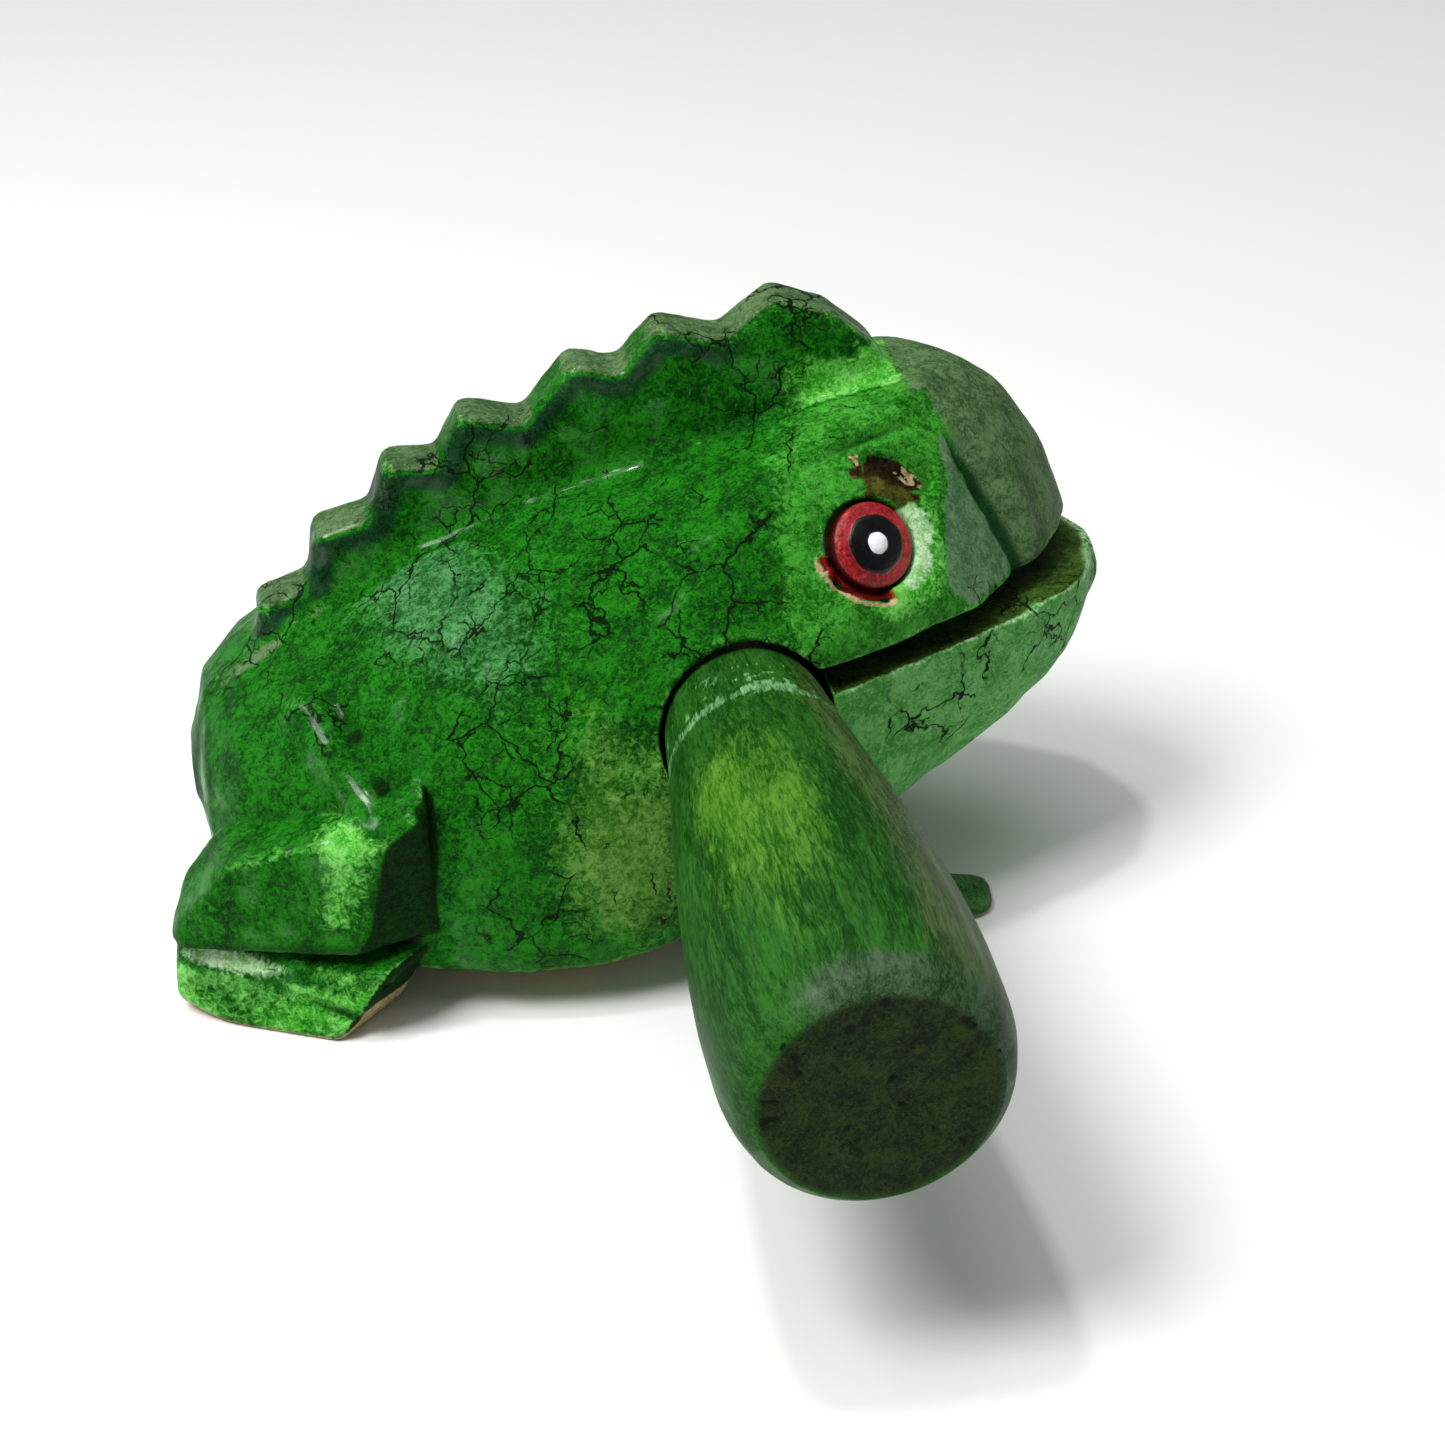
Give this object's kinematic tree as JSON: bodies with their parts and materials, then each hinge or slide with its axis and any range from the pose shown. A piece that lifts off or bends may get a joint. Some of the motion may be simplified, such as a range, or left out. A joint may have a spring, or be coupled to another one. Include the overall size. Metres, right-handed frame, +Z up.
{
  "type": "wooden frog rasp",
  "caption": "Squatting wooden frog with a saw-tooth crest, a sawn mouth and a cross hole through its cheeks, where a fat-headed turned striker is stored and slides out.",
  "frame": {"origin": "middle of the space that the frog and its stored striker take up, on the ground the feet stand on", "axes": "+X forward out of the frog's mouth, +Y to the frog's left and along the striker's handle, +Z up"},
  "size_m": [0.0642, 0.0904, 0.0421],
  "materials": {
    "green_painted_wood": "brushed mottled paint under gloss varnish, finely cracked",
    "red_enamel": "gloss enamel on a small wooden button",
    "green_stained_wood": "satin stain, turned along the grain"
  },
  "bodies": {
    "frog": {"frog_body": "green_painted_wood", "eye_right": "red_enamel", "eye_left": "red_enamel"},
    "striker": {"striker": "green_stained_wood"}
  },
  "joints": [
    {"name": "striker_slide", "type": "slide", "parent": "frog", "child": "striker", "axis": [0, -1, 0], "range_m": [0, 0.07]}
  ]
}
